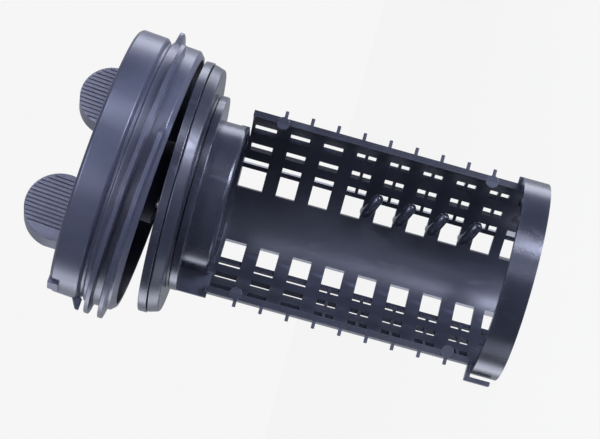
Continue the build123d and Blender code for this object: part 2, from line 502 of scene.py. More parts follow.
@dataclass(frozen=True)
class Finish:
    """A surface finish: colours are linear, roughness runs from gloss to matt."""

    name: str
    role: Role
    deep: Point
    pale: Point
    # A lighter bluish colour that is mixed onto sharp outer edges.
    edge_colour: Point
    roughness: Pair
    specular: float
    grain_scale: float
    grain_depth: float
    cloud_scale: float
    lighter_edge_amount: float
    gloss_tint: Point = (0.80, 0.825, 1.0)
    hollow: Hollow | None = None

    def material(self, skin: bpy.types.NodeTree, edges: bpy.types.NodeTree,
                 dull_side: bpy.types.NodeTree) -> bpy.types.Material:
        """Builds the material of the finish.

        Args:
            skin: The shared skin group.
            edges: The shared group of lighter outer edges.
            dull_side: The shared group of a hollow's dull side.

        Returns:
            The material.
        """
        made = bpy.data.materials.new(self.name)
        made.use_nodes = True
        made.node_tree.nodes.clear()
        sheet = NodeSheet(made.node_tree)
        place = sheet.node("ShaderNodeTexCoord").outputs["Object"]
        shader = sheet.node("ShaderNodeBsdfPrincipled")
        output = sheet.node("ShaderNodeOutputMaterial")
        sheet.join(shader.outputs[0], output.inputs["Surface"])
        surface = sheet.node("ShaderNodeGroup", node_tree=skin)
        surface.inputs["Grain Scale"].default_value = self.grain_scale
        surface.inputs["Cloud Scale"].default_value = self.cloud_scale
        lightened = sheet.node("ShaderNodeGroup", node_tree=edges)
        lightened.inputs["Amount"].default_value = self.lighter_edge_amount
        sheet.join(place, surface.inputs["Place"])
        sheet.join(place, lightened.inputs["Place"])
        tone = sheet.node("ShaderNodeMapRange")
        tone.inputs["From Min"].default_value = 0.3
        tone.inputs["From Max"].default_value = 0.7
        sheet.join(surface.outputs["Tone"], tone.inputs["Value"])
        cloudy = self._mix(sheet, tone.outputs["Result"], (*self.deep, 1.0), (*self.pale, 1.0))
        # Mixes a lighter bluish colour onto sharp outer edges.
        colour = self._mix(sheet, lightened.outputs["Lighter Edge"], cloudy, (*self.edge_colour, 1.0))
        sheet.join(colour, shader.inputs["Base Color"])
        rough = sheet.node("ShaderNodeMapRange")
        rough.inputs["To Min"].default_value = self.roughness[0]
        rough.inputs["To Max"].default_value = self.roughness[1]
        sheet.join(surface.outputs["Scuff"], rough.inputs["Value"])
        matt = rough.outputs["Result"]
        if self.hollow is not None:
            inside = sheet.node("ShaderNodeGroup", node_tree=dull_side)
            sheet.join(place, inside.inputs["Place"])
            inside.inputs["Inner Radius"].default_value = self.hollow.radii[0] * MM
            inside.inputs["Outer Radius"].default_value = self.hollow.radii[1] * MM
            inside.inputs["Top"].default_value = self.hollow.top * MM
            inside.inputs["Amount"].default_value = self.hollow.more
            matt = sheet.maths("ADD", matt, inside.outputs["Dull"])
        sheet.join(matt, shader.inputs["Roughness"])
        shader.inputs["Specular IOR Level"].default_value = self.specular
        shader.inputs["Specular Tint"].default_value = (*self.gloss_tint, 1.0)
        bump = sheet.node("ShaderNodeBump")
        bump.inputs["Strength"].default_value = 1.0
        bump.inputs["Distance"].default_value = self.grain_depth * MM
        sheet.join(surface.outputs["Height"], bump.inputs["Height"])
        sheet.join(bump.outputs["Normal"], shader.inputs["Normal"])
        return made

    @staticmethod
    def _mix(sheet: NodeSheet, factor: bpy.types.NodeSocket, first: object,
             second: object) -> bpy.types.NodeSocket:
        """Mixes two colours.

        Args:
            sheet: The material's nodes.
            factor: Share of the second colour.
            first: First colour or socket.
            second: Second colour or socket.

        Returns:
            The mixed colour.
        """
        mix = sheet.node("ShaderNodeMix", data_type="RGBA")
        sheet.join(factor, mix.inputs[0])
        sheet.feed(first, mix.inputs[6])
        sheet.feed(second, mix.inputs[7])
        return mix.outputs[2]


class Workshop:
    """Turns meshes into finished pieces that ride on their bodies."""

    def __init__(self) -> None:
        """Builds the shared shader groups."""
        self.skin = surface_group()
        self.edges = lighter_edge_group()
        self.dull_side = hollow_group()
        self.made: dict[str, bpy.types.Material] = {}

    def material(self, finish: Finish) -> bpy.types.Material:
        """The material of a finish, built on first use.

        Args:
            finish: The finish.

        Returns:
            Its material.
        """
        if finish.name not in self.made:
            self.made[finish.name] = finish.material(self.skin, self.edges, self.dull_side)
        return self.made[finish.name]

    def piece(self, name: str, mesh: bpy.types.Mesh, finish: Finish, carrier: Carrier,
              solid: Solid, edge: Edge | None = None) -> bpy.types.Object:
        """Makes a finished piece.

        Args:
            name: Name of the piece.
            mesh: Its mesh, in place.
            finish: Its finish.
            carrier: The body that it moves with.
            solid: The solid that it stands for.
            edge: How its edges are rounded, if they are.

        Returns:
            The piece.
        """
        made = bpy.data.objects.new(name, mesh)
        bpy.context.scene.collection.objects.link(made)
        mesh.materials.clear()
        mesh.materials.append(self.material(finish))
        if edge is not None:
            edge.soften(made)
        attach(made, carrier.value)
        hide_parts(solid.value)
        log.info("piece %s: %d faces before edges", name, len(mesh.polygons))
        return made


BODY_FINISH = Finish(
    name="strainer_plastic",
    role=Role.BODY,
    deep=(0.0125, 0.0141, 0.0230),
    pale=(0.0208, 0.0233, 0.0378),
    edge_colour=(0.20, 0.215, 0.34),
    roughness=(0.24, 0.38),
    specular=0.92,
    grain_scale=2600.0,
    grain_depth=0.012,
    cloud_scale=70.0,
    lighter_edge_amount=0.35,
    hollow=Hollow(radii=(20.8, 21.85), top=74.0, more=0.04),
)

CAP_FINISH = Finish(
    name="cap_plastic",
    role=Role.CAP,
    deep=(0.0315, 0.0351, 0.0578),
    pale=(0.0508, 0.0562, 0.0920),
    edge_colour=(0.20, 0.215, 0.34),
    roughness=(0.30, 0.44),
    specular=0.92,
    grain_scale=2200.0,
    grain_depth=0.016,
    cloud_scale=55.0,
    lighter_edge_amount=0.4,
    hollow=Hollow(radii=(-1.0, 31.0), top=102.5, more=0.35),
)

SEAL_FINISH = Finish(
    name="seal_rubber",
    role=Role.SEAL,
    deep=(0.0150, 0.0170, 0.0275),
    pale=(0.0245, 0.0275, 0.0450),
    edge_colour=(0.15, 0.165, 0.25),
    roughness=(0.30, 0.42),
    specular=0.75,
    grain_scale=1800.0,
    grain_depth=0.02,
    cloud_scale=45.0,
    lighter_edge_amount=0.25,
)


class Layer(IntEnum):
    """Layers of the basket's wall, from the neck's bore outward."""

    NECK = 0
    GAP = 1
    BACK = 2
    STRAP = 3
    SKIN = 4
    RING = 5


@dataclass
class StrainerBasket:
    """The half-round trough with its windows, the end ring, the end wall and the neck."""

    top_z: float = 74.1
    outer_r_top: float = 23.3
    outer_r_end: float = 23.1
    wall: float = 1.55
    rim_y: float = -3.2
    end_wall: float = 1.9
    end_wall_half_width: float = 18.6
    neck_r: float = 18.7
    neck_wall: float = 1.5
    neck_round: float = 1.35
    neck_round_steps: int = 5
    neck_top_z: float = 81.0
    ring_height: float = 6.6
    ring_outer_r: float = 24.9
    ring_lip: float = 0.7
    ring_end_land: float = 1.6
    column_count: int = 9
    column_mid: int = 5
    column_mid_z: float = 35.8
    column_pitch: float = 8.6
    window_height: float = 4.95
    first_column_extra: float = 0.6
    last_column_top_z: float = 4.8
    row_one: Pair = (18.5, 39.8)
    row_two: Pair = (47.1, 53.6)
    row_three: Pair = (64.2, 75.0)
    strap_angles: Pair = (32.0, 35.2)
    strap_depth: float = 0.95
    split_from_column: int = 4
    split_bar: float = 0.8
    step_deg: float = 2.5
    overlap: float = 0.01

    def radius(self, height: float) -> float:
        """Outer radius of the trough at a height: it narrows toward the ring.

        Args:
            height: Height above the ring's end.

        Returns:
            The radius.
        """
        return self.outer_r_end + (self.outer_r_top - self.outer_r_end) * height / self.top_z

    def columns(self) -> list[tuple[int, float, float]]:
        """The number, bottom and top of each column of windows.

        Returns:
            One entry for each column.
        """
        found = []
        for number in range(1, self.column_count + 1):
            mid = self.column_mid_z + self.column_pitch * (self.column_mid - number)
            low = max(mid - self.window_height / 2, self.ring_end_land)
            high = mid + self.window_height / 2
            if number == self.column_count:
                high = self.last_column_top_z
            found.append((number, low, high))
        return found

    def _heights(self) -> list[float]:
        """All heights at which the wall changes."""
        levels = {0.0, self.ring_height, self.top_z, self.neck_top_z}
        for number, low, high in self.columns():
            levels.update((low, high))
            if number == 1:
                levels.add(high + self.first_column_extra)
            if self.split_from_column <= number < self.column_count:
                mid = (low + high) / 2
                levels.update((mid - self.split_bar / 2, mid + self.split_bar / 2))
        return sorted(levels)

    def _angles(self) -> list[float]:
        """All angles from the back line, both ways round, with small steps between."""
        marks = {0.0, 180.0, self._rim_angle(self.outer_r_end)}
        for span in (self.row_one, self.row_two, self.row_three, self.strap_angles):
            marks.update(span)
        ordered = sorted(marks)
        half: list[float] = []
        for start, end in zip(ordered, ordered[1:]):
            steps = max(1, math.ceil((end - start) / self.step_deg))
            half.extend(start + (end - start) * i / steps for i in range(steps))
        return [-a for a in reversed(half[1:])] + half + [180.0]

    def _rim_angle(self, radius: float) -> float:
        """Angle of the flat rim at a radius."""
        return 90.0 + math.degrees(math.asin(-self.rim_y / radius))

    def _layers(self, height: float) -> list[float]:
        """Radii at which one layer of the wall at a height goes over into the next."""
        outer = self.radius(min(height, self.top_z))
        bore = self.neck_r - self.neck_wall
        inner = outer - self.wall
        return [bore, self.neck_r, inner, outer - self.strap_depth, outer - self.ring_lip, outer,
                self.ring_outer_r]

    def _is_window(self, layer: int, angle: float, height: float) -> bool:
        """Whether a small cell of the wall lies in a window."""
        away = abs(angle)
        for number, low, high in self.columns():
            top = high
            if number == 1:
                top = high + self.first_column_extra
                if 0 < angle < self.row_one[1]:
                    top = self.top_z
            if not low < height < top:
                continue
            if self.strap_angles[0] < away < self.strap_angles[1]:
                return layer == Layer.BACK
            if self.row_one[0] < away < self.strap_angles[0]:
                return True
            mid = (low + high) / 2
            split = self.split_from_column <= number < self.column_count
            if split and abs(height - mid) < self.split_bar / 2:
                return False
            rows = ((self.strap_angles[1], self.row_one[1]), self.row_two, self.row_three)
            return any(start < away < end for start, end in rows)
        return False

    def _is_solid(self, layer: int, angle: float, height: float) -> bool:
        """Whether a small cell holds plastic."""
        back = abs(angle) < self._rim_angle(self.outer_r_end)
        if height > self.top_z:
            return layer == Layer.NECK
        in_ring = height < self.ring_height and layer in (Layer.SKIN, Layer.RING)
        in_trough = back and layer in (Layer.BACK, Layer.STRAP, Layer.SKIN)
        return (in_ring or in_trough) and not self._is_window(layer, angle, height)

    def shape(self) -> Shape:
        """The wall as the outer faces of its small cells.

        Returns:
            The shape.
        """
        heights = self._heights()
        angles = self._angles()
        rim = self._rim_angle(self.outer_r_end)
        rows, cols, depth = len(heights) - 1, len(angles) - 1, len(Layer)
        full = np.zeros((depth + 2, cols, rows + 2), dtype=bool)
        for k in range(rows):
            height = (heights[k] + heights[k + 1]) / 2
            for j in range(cols):
                angle = (angles[j] + angles[j + 1]) / 2
                for i in range(depth):
                    full[i + 1, j, k + 1] = self._is_solid(i, angle, height)
        shape = Shape()
        known: dict[tuple[int, int, int], int] = {}

        def corner(i: int, j: int, k: int) -> int:
            """The number of a corner point, made on first use."""
            j = j % cols
            if (i, j, k) not in known:
                radius = self._layers(heights[k])[i]
                angle = angles[j]
                if abs(abs(angle) - rim) < 1e-6:
                    angle = math.copysign(self._rim_angle(radius), angle)
                turn = math.radians(angle)
                known[(i, j, k)] = len(shape.points)
                shape.points.append((radius * math.sin(turn), radius * math.cos(turn), heights[k]))
            return known[(i, j, k)]

        for i, j, k in np.argwhere(full):
            a, b, c = i - 1, j, k - 1
            if not full[i - 1, j, k]:
                shape.faces.append((corner(a, b, c), corner(a, b + 1, c),
                                    corner(a, b + 1, c + 1), corner(a, b, c + 1)))
            if not full[i + 1, j, k]:
                shape.faces.append((corner(a + 1, b, c), corner(a + 1, b, c + 1),
                                    corner(a + 1, b + 1, c + 1), corner(a + 1, b + 1, c)))
            if not full[i, (j - 1) % cols, k]:
                shape.faces.append((corner(a, b, c), corner(a, b, c + 1),
                                    corner(a + 1, b, c + 1), corner(a + 1, b, c)))
            if not full[i, (j + 1) % cols, k]:
                shape.faces.append((corner(a, b + 1, c), corner(a + 1, b + 1, c),
                                    corner(a + 1, b + 1, c + 1), corner(a, b + 1, c + 1)))
            if not full[i, j, k - 1]:
                shape.faces.append((corner(a, b, c), corner(a + 1, b, c),
                                    corner(a + 1, b + 1, c), corner(a, b + 1, c)))
            if not full[i, j, k + 1]:
                shape.faces.append((corner(a, b, c + 1), corner(a, b + 1, c + 1),
                                    corner(a + 1, b + 1, c + 1), corner(a + 1, b, c + 1)))
        return shape

    def _round_neck(self, basket: bpy.types.Object) -> None:
        """Rounds the neck's end beside the trough.

        Args:
            basket: The basket with the neck.
        """
        mesh = basket.data
        weights = mesh.attributes.new("bevel_weight_edge", "FLOAT", "EDGE")
        for edge in mesh.edges:
            ends = [mesh.vertices[index].co / MM for index in edge.vertices]
            level = all(abs(end.z - self.top_z) < 0.01 for end in ends)
            if level and all(abs(end.xy.length - self.neck_r) < 0.05 for end in ends):
                weights.data[edge.index].value = 1.0
        bevel = basket.modifiers.new("neck_end", "BEVEL")
        bevel.width = self.neck_round * MM
        bevel.segments = self.neck_round_steps
        bevel.limit_method = "WEIGHT"

    def _bridge(self) -> Shape:
        """The wall behind the neck that joins it to the trough."""
        bore = self.neck_r - self.neck_wall
        half = self.end_wall_half_width
        wide = math.degrees(math.asin(half / self.outer_r_top))
        inner = 90.0 + math.degrees(math.asin(-self.rim_y / bore))
        outline = []
        outer_steps, inner_steps = 40, 80
        for step in range(outer_steps + 1):
            turn = math.radians(-wide + 2 * wide * step / outer_steps)
            outline.append((self.outer_r_top * math.sin(turn), self.outer_r_top * math.cos(turn)))
        outline.append((half, self.rim_y))
        for step in range(inner_steps + 1):
            turn = math.radians(inner - 2 * inner * step / inner_steps)
            outline.append((bore * math.sin(turn), bore * math.cos(turn)))
        outline.append((-half, self.rim_y))
        return extruded(outline, self.top_z - self.overlap, self.top_z + self.end_wall)

    def build(self, shop: Workshop) -> None:
        """Makes the basket as one moulded piece.

        Args:
            shop: Where pieces are finished.
        """
        mesh = cleaned_mesh("strainer_basket", self.shape().add(self._bridge()))
        basket = shop.piece("strainer_basket", mesh, BODY_FINISH, Carrier.STRAINER, Solid.BODY)
        self._round_neck(basket)
        Edge(0.13).soften(basket)


@dataclass
class RimTrim:
    """Teeth and round pads along the two rims of the trough."""

    basket: StrainerBasket
    tooth_count: int = 10
    tooth_first_z: float = 66.2
    tooth_pitch: float = 6.6
    tooth_size: float = 0.85
    tooth_reach: float = 1.6
    tooth_root: float = 0.5
    tooth_inset: float = 0.03
    pad_r: float = 1.6
    pad_rise: float = 0.25
    pad_root: float = 1.6
    pad_heights: Pair = (66.5, 13.4)
    pad_sides: int = 32

    def build(self, shop: Workshop) -> None:
        """Makes the teeth and the pads.

        Args:
            shop: Where pieces are finished.
        """
        material = shop.material(BODY_FINISH)
        teeth = self._teeth(material)
        shop.piece("rim_teeth", teeth, BODY_FINISH, Carrier.STRAINER, Solid.BODY, Edge(0.14))
        pads = self._pads(material)
        shop.piece("rim_pads", pads, BODY_FINISH, Carrier.STRAINER, Solid.BODY, Edge(0.12))

    def _teeth(self, material: bpy.types.Material) -> bpy.types.Mesh:
        """The teeth of both rims, one line of small blocks for each."""
        basket = self.basket
        tree = GeometryTree("rim_teeth_tree")
        count = tree.count("Tooth Count", self.tooth_count)
        pitch = tree.size("Pitch", self.tooth_pitch)
        first = tree.size("First Height", self.tooth_first_z)
        size = tree.size("Size", self.tooth_size)
        length = tree.size("Length", self.tooth_reach + self.tooth_root)
        middle = basket.radius(self.tooth_first_z) + (self.tooth_reach - self.tooth_root) / 2
        reach = tree.size("Middle Reach", middle)
        slope = (basket.outer_r_top - basket.outer_r_end) / basket.top_z
        draft = tree.size("Draft Per Tooth", slope * self.tooth_pitch)
        plane = tree.size("Tooth Plane", basket.rim_y + self.tooth_size / 2 + self.tooth_inset)
        bar = tree.node("GeometryNodeMeshCube")
        tree.join(tree.vector(length, size, size), bar.inputs["Size"])
        both = tree.node("GeometryNodeJoinGeometry")
        for sign in (1.0, -1.0):
            line = tree.node("GeometryNodeMeshLine")
            start_x = tree.maths("MULTIPLY", reach, sign)
            tree.join(count, line.inputs["Count"])
            tree.join(tree.vector(start_x, plane, first), line.inputs["Start Location"])
            step_x = tree.maths("MULTIPLY", draft, -sign)
            step_z = tree.maths("MULTIPLY", pitch, -1.0)
            tree.join(tree.vector(step_x, 0.0, step_z), line.inputs["Offset"])
            spread = tree.node("GeometryNodeInstanceOnPoints")
            tree.join(line.outputs[0], spread.inputs["Points"])
            tree.join(bar.outputs["Mesh"], spread.inputs["Instance"])
            tree.join(spread.outputs[0], both.inputs[0])
        return tree.run("rim_teeth", both.outputs[0], material)

    def _pads(self, material: bpy.types.Material) -> bpy.types.Mesh:
        """The round pads, two on each rim."""
        basket = self.basket
        tree = GeometryTree("rim_pads_tree")
        radius = tree.size("Pad Radius", self.pad_r)
        depth = tree.size("Depth", self.pad_rise + self.pad_root)
        plane = tree.size("Pad Plane", basket.rim_y + (self.pad_root - self.pad_rise) / 2)
        disc = tree.node("GeometryNodeMeshCylinder", fill_type="NGON")
        disc.inputs["Vertices"].default_value = self.pad_sides
        tree.join(radius, disc.inputs["Radius"])
        tree.join(depth, disc.inputs["Depth"])
        both = tree.node("GeometryNodeJoinGeometry")
        for sign in (1.0, -1.0):
            high, low = self.pad_heights
            line = tree.node("GeometryNodeMeshLine", mode="END_POINTS")
            line.inputs["Count"].default_value = len(self.pad_heights)
            for height, end, label in ((high, "Start Location", "Upper"), (low, "Offset", "Lower")):
                side = "Right" if sign > 0 else "Left"
                x = tree.size(f"{label} {side} X", sign * (basket.radius(height) - self.pad_r))
                z = tree.size(f"{label} {side} Z", height)
                tree.join(tree.vector(x, plane, z), line.inputs[end])
            spread = tree.node("GeometryNodeInstanceOnPoints")
            spread.inputs["Rotation"].default_value = (math.radians(90.0), 0.0, 0.0)
            tree.join(line.outputs[0], spread.inputs["Points"])
            tree.join(disc.outputs["Mesh"], spread.inputs["Instance"])
            tree.join(spread.outputs[0], both.inputs[0])
        return tree.run("rim_pads", both.outputs[0], material)


@dataclass
class LintFingers:
    """Curved fingers on the bars between the middle windows."""

    basket: StrainerBasket
    count: int = 4
    radius: float = 1.35
    base: Point = (9.3, 19.8, 0.8)
    knee: Point = (8.9, 15.6, 0.3)
    tip: Point = (12.0, 12.2, -1.3)
    sides: int = 24

    def build(self, shop: Workshop) -> None:
        """Makes the row of fingers.

        Args:
            shop: Where pieces are finished.
        """
        basket = self.basket
        tree = GeometryTree("lint_fingers_tree")
        count = tree.count("Finger Count", self.count)
        thick = tree.size("Finger Radius", self.radius)
        pitch = tree.size("Pitch", basket.column_pitch)
        first = tree.size("First Height", basket.column_mid_z + basket.column_pitch / 2)
        arc = tree.node("GeometryNodeCurveArc", mode="POINTS")
        arc.inputs["Resolution"].default_value = self.sides
        ends = []
        for label, spot in (("Start", self.base), ("Middle", self.knee), ("End", self.tip)):
            parts = [tree.size(f"{label} {axis}", c) for axis, c in zip("XYZ", spot)]
            ends.append(tree.vector(*parts))
            tree.join(ends[-1], arc.inputs[label])
        ring = tree.node("GeometryNodeCurvePrimitiveCircle")
        ring.inputs["Resolution"].default_value = self.sides
        tree.join(thick, ring.inputs["Radius"])
        stem = tree.node("GeometryNodeCurveToMesh")
        stem.inputs["Fill Caps"].default_value = True
        tree.join(arc.outputs["Curve"], stem.inputs["Curve"])
        tree.join(ring.outputs["Curve"], stem.inputs["Profile Curve"])
        ball = tree.node("GeometryNodeMeshUVSphere")
        ball.inputs["Segments"].default_value = self.sides
        ball.inputs["Rings"].default_value = self.sides // 2
        tree.join(thick, ball.inputs["Radius"])
        top = tree.node("GeometryNodeTransform")
        tree.join(ball.outputs["Mesh"], top.inputs["Geometry"])
        tree.join(ends[-1], top.inputs["Translation"])
        finger = tree.node("GeometryNodeJoinGeometry")
        tree.join(stem.outputs[0], finger.inputs[0])
        tree.join(top.outputs[0], finger.inputs[0])
        line = tree.node("GeometryNodeMeshLine")
        tree.join(count, line.inputs["Count"])
        tree.join(tree.vector(0.0, 0.0, first), line.inputs["Start Location"])
        tree.join(tree.vector(0.0, 0.0, tree.maths("MULTIPLY", pitch, -1.0)), line.inputs["Offset"])
        spread = tree.node("GeometryNodeInstanceOnPoints")
        tree.join(line.outputs[0], spread.inputs["Points"])
        tree.join(finger.outputs[0], spread.inputs["Instance"])
        smooth = tree.node("GeometryNodeSetShadeSmooth")
        tree.join(spread.outputs[0], smooth.inputs[0])
        mesh = tree.run("lint_fingers", smooth.outputs[0], shop.material(BODY_FINISH))
        shop.piece("lint_fingers", mesh, BODY_FINISH, Carrier.STRAINER, Solid.BODY)


@dataclass
class SealCarrier:
    """Retaining disc, seal seat and carrier flange on the neck, with key rib, hook and snap hub."""

    basket: StrainerBasket
    bore_r: float = 17.25
    disc_z: Pair = (80.7, 82.7)
    disc_r: float = 24.5
    seat_r: float = 23.0
    flange_z: Pair = (86.3, 88.4)
    flange_r: float = 31.6
    key_width: float = 2.4
    key_r: float = 24.4
    key_sink: float = 0.8
    key_drop: float = 0.7
    hook_width: float = 3.0
    hook_bar_r: Pair = (25.8, 26.9)
    hook_z: Pair = (1.3, 7.6)
    hook_leg: float = 1.1
    hook_root: float = 1.0
    hub_r: float = 6.2
    hub_wall: float = 2.0
    hub_bead_r: float = 7.6
    hub_bead_height: float = 1.4
    hub_pivot_z: float = 96.6
    hub_lead: float = 2.0
    hub_slot: float = 1.6
    hub_floor_z: float = 91.0
    hub_bead_edges: Pair = (0.5, 0.3)
    hub_lap: float = 0.05
    root: float = 0.5

    def _flange(self) -> Shape:
        """The turned part."""
        return turned([
            (self.bore_r, self.disc_z[0]),
            (self.disc_r, self.disc_z[0]),
            (self.disc_r, self.disc_z[1]),
            (self.seat_r, self.disc_z[1]),
            (self.seat_r, self.flange_z[0]),
            (self.flange_r, self.flange_z[0]),
            (self.flange_r, self.flange_z[1]),
            (0.0, self.flange_z[1]),
            (0.0, self.flange_z[0]),
            (self.bore_r, self.flange_z[0]),
        ])

    def _hub(self) -> Shape:
        """The snap hub: a low tube that goes over into four sprung fingers."""
        inner = self.hub_r - self.hub_wall
        low = self.hub_pivot_z - self.hub_bead_height / 2
        high = self.hub_pivot_z + self.hub_bead_height / 2
        lower, upper = self.hub_bead_edges
        base = self.flange_z[1] - self.root
        foot = turned([(inner, base), (self.hub_r, base), (self.hub_r, self.hub_floor_z),
                       (inner, self.hub_floor_z)], 96)
        start = self.hub_floor_z - self.hub_lap
        profile = [(inner, start), (self.hub_r, start), (self.hub_r, low),
                   (self.hub_bead_r, low + lower), (self.hub_bead_r, high - upper),
                   (self.hub_r - upper, high + self.hub_lead), (inner, high + self.hub_lead)]
        clear = math.degrees(math.asin(self.hub_slot / 2 / self.hub_r))
        for quarter in range(4):
            arc = (quarter * 90.0 + clear, (quarter + 1) * 90.0 - clear)
            foot.add(turned(profile, 20, arc))
        return foot

    def _key(self) -> Shape:
        """The key rib beside the neck."""
        half = self.key_width / 2
        return block((-self.key_r, -self.basket.neck_r + self.key_sink), (-half, half),
                     (self.basket.top_z - self.key_drop, self.disc_z[0] + self.root))

    def _hook(self) -> Shape:
        """The hook of the end ring: a thin bar along the ring on one leg."""
        near, far = self.hook_bar_r
        low, high = self.hook_z
        root = self.basket.radius(high) - self.hook_root
        outline = [(-far, low), (-near, low), (-near, high - self.hook_leg),
                   (-root, high - self.hook_leg), (-root, high), (-far, high)]
        return upright(outline, self.hook_width / 2)

    def build(self, shop: Workshop) -> None:
        """Makes the flange, the hub, the key rib and the hook.

        Args:
            shop: Where pieces are finished.
        """
        parts = (
            ("seal_carrier", self._flange(), Edge(0.22, 3)),
            ("snap_hub", self._hub(), Edge(0.12)),
            ("neck_key", self._key(), Edge(0.15)),
            ("ring_hook", self._hook(), Edge(0.15)),
        )
        for name, shape, edge in parts:
            mesh = cleaned_mesh(name, shape)
            shop.piece(name, mesh, BODY_FINISH, Carrier.STRAINER, Solid.BODY, edge)


@dataclass
class SealRing:
    """The rubber ring between the retaining disc and the carrier flange."""

    inner_r: float = 23.05
    outer_r: float = 31.3
    back_r: float = 30.6
    foot_r: float = 24.1
    low_z: float = 82.75
    back_z: float = 83.35
    high_z: float = 86.25
    edge: float = 0.3

    def build(self, shop: Workshop) -> None:
        """Makes the ring.

        Args:
            shop: Where pieces are finished.
        """
        shape = turned([
            (self.inner_r, self.low_z),
            (self.foot_r, self.low_z),
            (self.foot_r, self.back_z),
            (self.back_r - self.edge, self.back_z),
            (self.back_r, self.back_z + self.edge),
            (self.outer_r, self.high_z - self.edge),
            (self.outer_r - self.edge, self.high_z),
            (self.inner_r, self.high_z),
        ])
        mesh = cleaned_mesh("seal_ring_rubber", shape)
        shop.piece("seal_ring_rubber", mesh, SEAL_FINISH, Carrier.STRAINER, Solid.SEAL, Edge(0.2, 3, 25.0))


@dataclass(frozen=True)
class Ear:
    """One round ear of the handle, with the width of the strip that stays smooth on its outer side."""

    label: str
    side: int
    radius: float
    offset: float
    height: float
    smooth: float

    def middle(self) -> float:
        """Where the middle of the ear stands along the handle."""
        return self.side * self.offset

    def top(self, away: float) -> float:
        """Height of the round edge at a distance from the middle of the ear.

        Args:
            away: The distance along the handle.

        Returns:
            The height.
        """
        return self.height + math.sqrt(max(self.radius * self.radius - away * away, 0.0))


